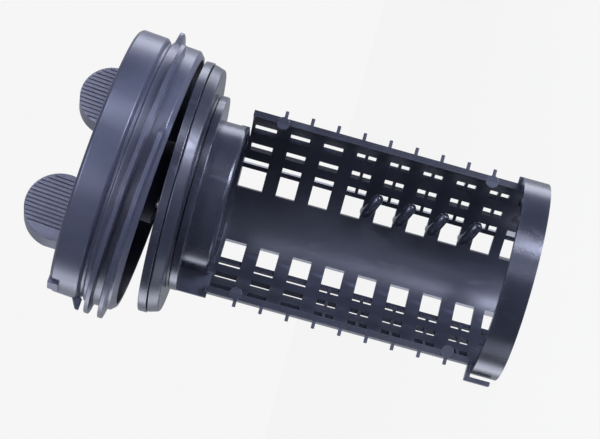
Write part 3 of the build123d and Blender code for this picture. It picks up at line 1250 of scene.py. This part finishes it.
@dataclass
class ScrewCap:
    """The screw cap: rim, front plate, threaded collar, snap socket, stop lugs and handle."""

    lean_z: float = 91.5
    lean_deg: float = 3.8
    front_lean_deg: float = 1.5
    front_z: float = 108.2
    rim_height: float = 7.6
    rim_r: float = 33.8
    rim_wall: float = 2.6
    rim_edge: float = 0.7
    plate_z: Pair = (103.4, 106.2)
    collar_end_z: float = 91.6
    collar_r: float = 33.5
    collar_wall: float = 2.0
    collar_groove: float = 1.1
    collar_lead: float = 1.2
    groove_depth: float = 0.8
    groove_edge: float = 0.3
    socket_end_z: float = 90.6
    socket_bore: float = 7.1
    socket_groove_r: float = 8.1
    socket_groove_z: float = 95.0
    socket_wall: float = 2.3
    socket_lead: float = 0.4
    root: float = 0.5
    thread_lead: float = 4.2
    thread_runs: tuple[Point, ...] = (
        (140.0, 335.0, 2.1), (140.0, 288.0, 5.6), (343.0, 445.0, 1.9), (367.0, 450.0, 6.1),
    )
    thread_crest_r: float = 36.2
    thread_sink: float = 0.4
    thread_root_width: float = 2.1
    thread_crest_width: float = 1.0
    thread_steps: int = 220
    thread_fade: float = 52.0
    thread_end_share: float = 0.12
    stop_width: float = 5.0
    stop_depth: float = 2.4
    stop_reach: float = 0.7
    stop_rise: float = 0.1
    stop_length: float = 2.7
    stop_turn_deg: float = 15.0
    tooth_reach: float = 2.4
    tooth_width: float = 3.0
    tooth_root: float = 0.6
    tooth_tip: float = 0.8
    tooth_z: Pair = (100.0, 102.7)
    handle_turn_deg: float = 14.0
    handle_thick: float = 6.5
    ears: tuple[Ear, ...] = (
        Ear("Small", 1, 8.1, 15.7, 109.8, 0.4),
        Ear("Big", -1, 8.7, 15.7, 111.9, 3.0),
    )
    saddle_z: float = 108.2
    foot_share: float = 0.96
    saddle_share: float = 0.95
    rib_pitch: float = 1.05
    rib_margin: float = 0.4
    rib_groove: float = 0.5
    rib_depth: float = 0.35
    rib_floor_z: float = 107.0
    rib_inset: float = 0.02
    land_root: float = 0.6
    land_inset: float = 0.05
    foot_inset: float = 0.01

    def lean(self) -> Matrix:
        """The tilt of the cap on its snap hub, in millimetres."""
        up = Matrix.Translation((0.0, 0.0, self.lean_z))
        side = Matrix.Rotation(math.radians(self.lean_deg), 4, "Y")
        front = Matrix.Rotation(math.radians(self.front_lean_deg), 4, "X")
        return up @ front @ side @ up.inverted()

    def handle_place(self) -> Matrix:
        """The turn of the handle on the cap, with the cap's tilt."""
        return self.lean() @ Matrix.Rotation(math.radians(self.handle_turn_deg), 4, "Z")

    def _shell(self) -> Shape:
        """The turned shell of the cap and its socket."""
        rim_low = self.front_z - self.rim_height
        inner = self.collar_r - self.collar_wall
        shell = turned([
            (inner, self.collar_end_z),
            (self.collar_r - self.collar_lead, self.collar_end_z),
            (self.collar_r, self.collar_end_z + self.collar_lead),
            (self.collar_r, rim_low - self.collar_groove),
            (self.collar_r - self.groove_depth, rim_low - self.collar_groove + self.groove_edge),
            (self.collar_r - self.groove_depth, rim_low),
            (self.rim_r - self.rim_edge, rim_low),
            (self.rim_r, rim_low + self.rim_edge),
            (self.rim_r, self.front_z - self.rim_edge),
            (self.rim_r - self.rim_edge, self.front_z),
            (self.rim_r - self.rim_wall, self.front_z),
            (self.rim_r - self.rim_wall, self.plate_z[1]),
            (0.0, self.plate_z[1]),
            (0.0, self.plate_z[0]),
            (inner, self.plate_z[0]),
        ], 216)
        outer = self.socket_groove_r + self.socket_wall
        top = self.plate_z[0] + self.root
        socket = turned([
            (self.socket_bore, self.socket_end_z + self.socket_lead),
            (self.socket_bore + self.socket_lead, self.socket_end_z),
            (outer, self.socket_end_z),
            (outer, top),
            (self.socket_groove_r, top),
            (self.socket_groove_r, self.socket_groove_z),
            (self.socket_bore, self.socket_groove_z),
        ], 96)
        return shell.add(socket)

    def _lugs(self) -> Shape:
        """The stop at the front edge of the rim and the ramped tooth at its back edge."""
        far = -self.rim_r - self.stop_reach
        half = self.stop_width / 2
        high = self.front_z + self.stop_rise
        stop = block((far, far + self.stop_depth), (-half, half), (high - self.stop_length, high))
        low, top = self.tooth_z
        root = -self.rim_r + self.tooth_root
        tip = -self.rim_r - self.tooth_reach
        ramp = upright([(root, top), (tip, low + self.tooth_tip), (tip, low), (root, low)],
                       self.tooth_width / 2)
        return stop.moved(Matrix.Rotation(math.radians(self.stop_turn_deg), 4, "Z")).add(ramp)

    def _thread(self, material: bpy.types.Material) -> bpy.types.Mesh:
        """The coarse thread: a section that follows short spirals, each faded at its ends."""
        tree = GeometryTree("collar_thread_tree")
        root = tree.size("Root Radius", self.collar_r - self.thread_sink)
        reach = tree.size("Reach", self.thread_crest_r - self.collar_r + self.thread_sink)
        foot = tree.size("Half Root Width", self.thread_root_width / 2)
        crest = tree.size("Half Crest Width", self.thread_crest_width / 2)
        section = tree.node("GeometryNodeCurvePrimitiveQuadrilateral", mode="POINTS")
        down = tree.maths("MULTIPLY", foot, -1.0)
        tip = tree.maths("MULTIPLY", crest, -1.0)
        out = tree.maths("MULTIPLY", reach, -1.0)
        corners = ((0.0, down), (out, tip), (out, crest), (0.0, foot))
        for number, (x, y) in enumerate(corners):
            tree.join(tree.vector(x, y), section.inputs[f"Point {number + 1}"])
        both = tree.node("GeometryNodeJoinGeometry")
        rim_low = self.front_z - self.rim_height
        for number, (first, last, depth) in enumerate(self.thread_runs):
            turns = (last - first) / 360.0
            climb = self.thread_lead * turns
            rise = tree.size(f"Rise {number}", climb)
            start = tree.size(f"Start {number}", rim_low - depth - climb)
            coil = tree.node("GeometryNodeCurveSpiral")
            coil.inputs["Resolution"].default_value = self.thread_steps
            coil.inputs["Rotations"].default_value = turns
            tree.join(root, coil.inputs["Start Radius"])
            tree.join(root, coil.inputs["End Radius"])
            tree.join(rise, coil.inputs["Height"])
            flat = tree.node("GeometryNodeSetCurveNormal", mode="Z_UP")
            tree.join(coil.outputs[0], flat.inputs[0])
            along = tree.node("GeometryNodeSplineParameter").outputs["Factor"]
            fade = self.thread_fade * turns
            left = tree.maths("MULTIPLY", along, fade)
            back = tree.maths("MULTIPLY", tree.maths("SUBTRACT", 1.0, along), fade)
            nearest = tree.maths("MINIMUM", tree.maths("MINIMUM", left, back), 1.0)
            ridge = tree.node("GeometryNodeCurveToMesh")
            ridge.inputs["Fill Caps"].default_value = True
            tree.join(flat.outputs[0], ridge.inputs["Curve"])
            grown = tree.maths("MULTIPLY", nearest, 1.0 - self.thread_end_share)
            share = tree.maths("ADD", grown, self.thread_end_share)
            tree.join(share, ridge.inputs["Scale"])
            tree.join(section.outputs[0], ridge.inputs["Profile Curve"])
            lift = tree.node("GeometryNodeTransform")
            lift.inputs["Rotation"].default_value = (0.0, 0.0, math.radians(last))
            tree.join(ridge.outputs[0], lift.inputs["Geometry"])
            tree.join(tree.vector(0.0, 0.0, start), lift.inputs["Translation"])
            tree.join(lift.outputs[0], both.inputs[0])
        return tree.run("collar_thread", both.outputs[0], material)

    def _core(self, ear: Ear) -> Shape:
        """The core of one ear, thinner than the handle by the depth of the ribs."""
        low = self.plate_z[0] + self.root
        mid = ear.middle()
        half = ear.radius * self.foot_share
        outline = [(mid - half, low), (mid + half, low)]
        start = math.acos(self.foot_share)
        steps = 64
        for step in range(steps + 1):
            angle = -start + (math.pi + 2 * start) * step / steps
            outline.append((mid + ear.radius * math.cos(angle), ear.height + ear.radius * math.sin(angle)))
        return upright(outline, self.handle_thick / 2 - self.rib_depth)

    def _land(self, ear: Ear) -> Shape:
        """The smooth strip on the outer side of an ear, at the full thickness of the handle."""
        low = self.plate_z[0] + self.land_root
        inner = ear.radius - ear.smooth
        outer = ear.radius - self.land_inset
        mid = ear.middle()
        outline = [(mid + ear.side * inner, low), (mid + ear.side * outer * self.foot_share, low)]
        steps = 24
        for step in range(steps + 1):
            away = outer + (inner - outer) * step / steps
            outline.append((mid + ear.side * away, ear.top(away) - self.rib_inset))
        return upright(outline, self.handle_thick / 2)

    def _saddle(self) -> Shape:
        """The bar between the ears and the smooth feet below the ribs."""
        half = self.handle_thick / 2
        low = self.plate_z[0] + self.root
        ends = sorted(ear.middle() for ear in self.ears)
        bar = block((ends[0], ends[1]), (-half, half), (low, self.saddle_z))
        for ear in self.ears:
            reach = ear.radius * self.saddle_share
            span = (ear.middle() - reach, ear.middle() + reach)
            thick = (-half + self.foot_inset, half - self.foot_inset)
            bar.add(block(span, thick, (low, self.rib_floor_z)))
        return bar

    def _ribs(self, material: bpy.types.Material) -> bpy.types.Mesh:
        """The upright ribs of both ears: bars whose tops stay inside the round of the ear."""
        tree = GeometryTree("ear_ribs_tree")
        pitch = tree.size("Rib Pitch", self.rib_pitch)
        width = tree.size("Rib Width", self.rib_pitch - self.rib_groove)
        thick = tree.size("Handle Thickness", self.handle_thick)
        floor = tree.size("Rib Floor", self.rib_floor_z)
        cube = tree.node("GeometryNodeMeshCube")
        cube.inputs["Size"].default_value = (1.0, 1.0, 1.0)
        both = tree.node("GeometryNodeJoinGeometry")
        for ear in self.ears:
            number = int((2 * ear.radius - self.rib_margin - ear.smooth) / self.rib_pitch)
            count = tree.count(f"{ear.label} Rib Count", number)
            size = tree.size(f"{ear.label} Radius", ear.radius)
            centre = tree.size(f"{ear.label} Height", ear.height)
            offset = tree.size(f"{ear.label} Offset", ear.offset)
            first = tree.size(f"{ear.label} First", ear.radius - ear.smooth - self.rib_pitch / 2)
            line = tree.node("GeometryNodeMeshLine")
            tree.join(count, line.inputs["Count"])
            index = tree.node("GeometryNodeInputIndex").outputs[0]
            away = tree.maths("SUBTRACT", first, tree.maths("MULTIPLY", index, pitch))
            outer = tree.maths("ADD", tree.maths("ABSOLUTE", away), tree.maths("MULTIPLY", width, 0.5))
            chord = tree.maths("SUBTRACT", tree.maths("MULTIPLY", size, size),
                               tree.maths("MULTIPLY", outer, outer))
            top = tree.maths("ADD", centre, tree.maths("SQRT", tree.maths("MAXIMUM", chord, 0.0)))
            tall = tree.maths("SUBTRACT", tree.maths("SUBTRACT", top, floor), self.rib_inset * MM)
            height = tree.maths("ADD", floor, tree.maths("MULTIPLY", tall, 0.5))
            x = tree.maths("MULTIPLY", tree.maths("ADD", offset, away), float(ear.side))
            place = tree.node("GeometryNodeSetPosition")
            tree.join(line.outputs[0], place.inputs["Geometry"])
            tree.join(tree.vector(x, 0.0, height), place.inputs["Position"])
            spread = tree.node("GeometryNodeInstanceOnPoints")
            tree.join(place.outputs[0], spread.inputs["Points"])
            tree.join(cube.outputs["Mesh"], spread.inputs["Instance"])
            tree.join(tree.vector(width, thick, tall), spread.inputs["Scale"])
            tree.join(spread.outputs[0], both.inputs[0])
        return tree.run("ear_ribs", both.outputs[0], material)

    def _put(self, mesh: bpy.types.Mesh, place: Matrix) -> bpy.types.Mesh:
        """Moves a mesh by a matrix in millimetres.

        Args:
            mesh: The mesh in metres.
            place: The move.

        Returns:
            The same mesh, in its place.
        """
        scaled = place.copy()
        scaled.translation = place.translation * MM
        mesh.transform(scaled)
        mesh.update()
        return mesh

    def build(self, shop: Workshop) -> None:
        """Makes the cap, its thread, its lugs and its handle.

        Args:
            shop: Where pieces are finished.
        """
        material = shop.material(CAP_FINISH)
        lean = self.lean()
        turn = self.handle_place()
        handle = self._saddle()
        for ear in self.ears:
            handle.add(self._core(ear))
            if ear.smooth > self.rib_pitch:
                handle.add(self._land(ear))
        shell = cleaned_mesh("cap_shell", self._shell().moved(lean))
        lugs = cleaned_mesh("cap_lugs", self._lugs().moved(lean))
        grip = cleaned_mesh("cap_handle", handle.moved(turn))
        thread = self._put(self._thread(material), lean)
        ribs = self._put(self._ribs(material), turn)
        parts = (
            ("cap_shell", shell, Edge(0.25, 3, 28.0)),
            ("cap_lugs", lugs, Edge(0.2)),
            ("cap_handle", grip, Edge(0.22, 3)),
            ("collar_thread", thread, Edge(0.28, 3, 30.0)),
            ("ear_ribs", ribs, Edge(0.14)),
        )
        for name, mesh, edge in parts:
            for face in mesh.polygons:
                face.use_smooth = True
            shop.piece(name, mesh, CAP_FINISH, Carrier.CAP, Solid.CAP, edge)


@dataclass(frozen=True)
class SoftBox:
    """A soft lamp: its height, its angle round the filter from the eye, its sides and its watts."""

    name: str
    height: float
    rise_deg: float
    size: Pair
    power: float


SOFT_BOXES = (
    SoftBox("cap_key", 450.0, -8.0, (500.0, 300.0), 1.9),
    SoftBox("ring_key", -500.0, 55.0, (500.0, 300.0), 3.2),
    SoftBox("cap_strip", 235.0, 46.0, (210.0, 150.0), 1.0),
    SoftBox("ring_strip", -172.0, 38.0, (230.0, 200.0), 2.0),
    SoftBox("upper_box", 36.0, 125.0, (480.0, 240.0), 0.80),
    SoftBox("lower_box", 36.0, -122.0, (480.0, 240.0), 0.80),
    SoftBox("cap_box", 250.0, -16.0, (120.0, 120.0), 0.34),
    SoftBox("cap_low", 270.0, -66.0, (120.0, 300.0), 0.10),
    SoftBox("ring_box", -100.0, 10.0, (200.0, 220.0), 0.12),
    SoftBox("ring_low", -140.0, -85.0, (200.0, 300.0), 0.24),
)


@dataclass
class Studio:
    """The pale floor, the soft lamps, the white surroundings and the camera."""

    distance: float = 480.0
    swing_deg: float = 6.9
    aside: float = 0.34
    eye_z: float = 54.5
    aim_z: float = 56.3
    up_share: Pair = (0.267, 0.9636)
    lens: float = 117.6
    backdrop: float = 0.92
    fill: float = 0.12
    gloss: Pair = (0.5, 0.07)
    dim_from: Pair = (-0.85, 0.15)
    cool: Point = (0.93, 0.96, 1.06)
    lamp_distance: float = 450.0
    lamp_aim_z: float = 56.0
    floor_reach: float = 6000.0
    floor_z: float = -0.05
    floor_paint: float = 0.8
    floor_glow: float = 1.016
    floor_glow_share: float = 0.96

    def _axes(self) -> tuple[Vector, Vector, Vector]:
        """The directions from the filter to the eye, up in the picture and across the filter."""
        swing = math.radians(self.swing_deg)
        toward = Vector((-math.sin(swing), -math.cos(swing), 0.0))
        side = Vector((math.cos(swing), -math.sin(swing), 0.0))
        up = self.up_share[0] * Vector((0.0, 0.0, 1.0)) + self.up_share[1] * side
        return toward, up.normalized(), side

    def _way(self, rise_deg: float) -> Vector:
        """A direction across the filter.

        Args:
            rise_deg: Angle from the eye's direction, positive to the upper side in the picture.

        Returns:
            The direction.
        """
        toward, _, side = self._axes()
        rise = math.radians(rise_deg)
        return toward * math.cos(rise) + side * math.sin(rise)

    def _camera(self) -> None:
        """The camera at the photograph's viewing angle."""
        toward, up, side = self._axes()
        shift = self.aside * side
        eye = toward * self.distance + Vector((0.0, 0.0, self.eye_z)) + shift
        ahead = (Vector((0.0, 0.0, self.aim_z)) + shift - eye).normalized()
        right = ahead.cross(up).normalized()
        true_up = right.cross(ahead)
        turn = Matrix((right, true_up, -ahead)).transposed().to_4x4()
        data = bpy.data.cameras.new("view")
        data.lens = self.lens
        data.sensor_width = 36.0
        data.clip_start = 0.01
        data.clip_end = 20.0
        camera = bpy.data.objects.new("view", data)
        camera.matrix_world = Matrix.Translation(eye * MM) @ turn
        bpy.context.scene.collection.objects.link(camera)
        bpy.context.scene.camera = camera

    def _lamp(self, box: SoftBox) -> None:
        """A soft box with its first side along the filter.

        Args:
            box: The lamp's place, size and power.
        """
        data = bpy.data.lights.new(box.name, "AREA")
        data.shape = "RECTANGLE"
        data.size = box.size[0] * MM
        data.size_y = box.size[1] * MM
        data.energy = box.power
        data.color = self.cool
        lamp = bpy.data.objects.new(box.name, data)
        lamp.visible_camera = False
        place = Vector((0.0, 0.0, box.height)) + self._way(box.rise_deg) * self.lamp_distance
        back = (place - Vector((0.0, 0.0, self.lamp_aim_z))).normalized()
        along = Vector((0.0, 0.0, 1.0))
        along = (along - back * along.z).normalized()
        facing = Matrix((along, back.cross(along), back)).transposed().to_4x4()
        lamp.matrix_world = Matrix.Translation(place * MM) @ facing
        bpy.context.scene.collection.objects.link(lamp)

    def _world(self) -> None:
        """White surroundings for the eye, a soft grey for light, and a dim side in front for gloss."""
        world = bpy.data.worlds.new("studio")
        bpy.context.scene.world = world
        world.use_nodes = True
        world.node_tree.nodes.clear()
        sheet = NodeSheet(world.node_tree)
        output = sheet.node("ShaderNodeOutputWorld")
        path = sheet.node("ShaderNodeLightPath")
        way = sheet.node("ShaderNodeTexCoord").outputs["Generated"]
        front = sheet.node("ShaderNodeVectorMath", operation="DOT_PRODUCT")
        sheet.join(way, front.inputs[0])
        front.inputs[1].default_value = self._axes()[0]
        dim = sheet.node("ShaderNodeMapRange", interpolation_type="SMOOTHSTEP")
        for name, value in (("From Min", self.dim_from[0]), ("From Max", self.dim_from[1]),
                            ("To Min", self.gloss[0]), ("To Max", self.gloss[1])):
            dim.inputs[name].default_value = value
        sheet.join(front.outputs["Value"], dim.inputs["Value"])
        clear = sheet.maths("MAXIMUM", path.outputs["Is Camera Ray"], path.outputs["Is Transmission Ray"])
        plain = sheet.maths("SUBTRACT", 1.0, path.outputs["Is Glossy Ray"])
        shiny = sheet.maths("MULTIPLY", path.outputs["Is Glossy Ray"], dim.outputs["Result"])
        soft = sheet.maths("ADD", shiny, sheet.maths("MULTIPLY", plain, self.fill))
        seen = sheet.maths("MULTIPLY", clear, self.backdrop)
        rest = sheet.maths("MULTIPLY", sheet.maths("SUBTRACT", 1.0, clear), soft)
        light = sheet.node("ShaderNodeBackground")
        tint = sheet.node("ShaderNodeMix", data_type="RGBA")
        sheet.join(clear, tint.inputs[0])
        tint.inputs[6].default_value = (*self.cool, 1.0)
        tint.inputs[7].default_value = (1.0, 1.0, 1.0, 1.0)
        sheet.join(tint.outputs[2], light.inputs["Color"])
        sheet.join(sheet.maths("ADD", seen, rest), light.inputs["Strength"])
        sheet.join(light.outputs[0], output.inputs["Surface"])

    @staticmethod
    def _direct(sheet: NodeSheet) -> bpy.types.NodeSocket:
        """A mask of rays that come from the eye, from gloss or through glass."""
        path = sheet.node("ShaderNodeLightPath")
        shiny = sheet.maths("MAXIMUM", path.outputs["Is Glossy Ray"], path.outputs["Is Transmission Ray"])
        return sheet.maths("MAXIMUM", path.outputs["Is Camera Ray"], shiny)

    def _floor(self) -> None:
        """A wide pale floor. It casts no shadow, because some lamps stand below it."""
        reach = self.floor_reach
        flat = ((-reach, -reach), (reach, -reach), (reach, reach), (-reach, reach))
        shape = Shape([(x, y, self.floor_z) for x, y in flat], [(0, 1, 2, 3)])
        floor = bpy.data.objects.new("floor", cleaned_mesh("floor", shape))
        bpy.context.scene.collection.objects.link(floor)
        paint = bpy.data.materials.new("pale_floor")
        paint.use_nodes = True
        paint.node_tree.nodes.clear()
        sheet = NodeSheet(paint.node_tree)
        output = sheet.node("ShaderNodeOutputMaterial")
        matt = sheet.node("ShaderNodeBsdfDiffuse")
        matt.inputs["Color"].default_value = (self.floor_paint, self.floor_paint, self.floor_paint, 1.0)
        glow = sheet.node("ShaderNodeEmission")
        glow.inputs["Color"].default_value = (1.0, 1.0, 1.0, 1.0)
        glow.inputs["Strength"].default_value = self.backdrop * self.floor_glow
        mix = sheet.node("ShaderNodeMixShader")
        share = sheet.maths("MULTIPLY", self._direct(sheet), self.floor_glow_share)
        sheet.join(share, mix.inputs[0])
        sheet.join(matt.outputs[0], mix.inputs[1])
        sheet.join(glow.outputs[0], mix.inputs[2])
        sheet.join(mix.outputs[0], output.inputs["Surface"])
        floor.data.materials.append(paint)
        floor.visible_glossy = False
        floor.visible_shadow = False

    def build(self) -> None:
        """Sets up the studio."""
        self._camera()
        self._world()
        self._floor()
        for box in SOFT_BOXES:
            self._lamp(box)
        bpy.context.scene.view_settings.view_transform = "Standard"


def main() -> None:
    """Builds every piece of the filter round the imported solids, then the studio."""
    logging.basicConfig(level=logging.INFO, format="%(name)s: %(message)s")
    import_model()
    shop = Workshop()
    basket = StrainerBasket()
    for part in (basket, RimTrim(basket), LintFingers(basket), SealCarrier(basket), SealRing(), ScrewCap()):
        part.build(shop)
        log.info("built %s", type(part).__name__)
    Studio().build()


if __name__ == "__main__":
    main()
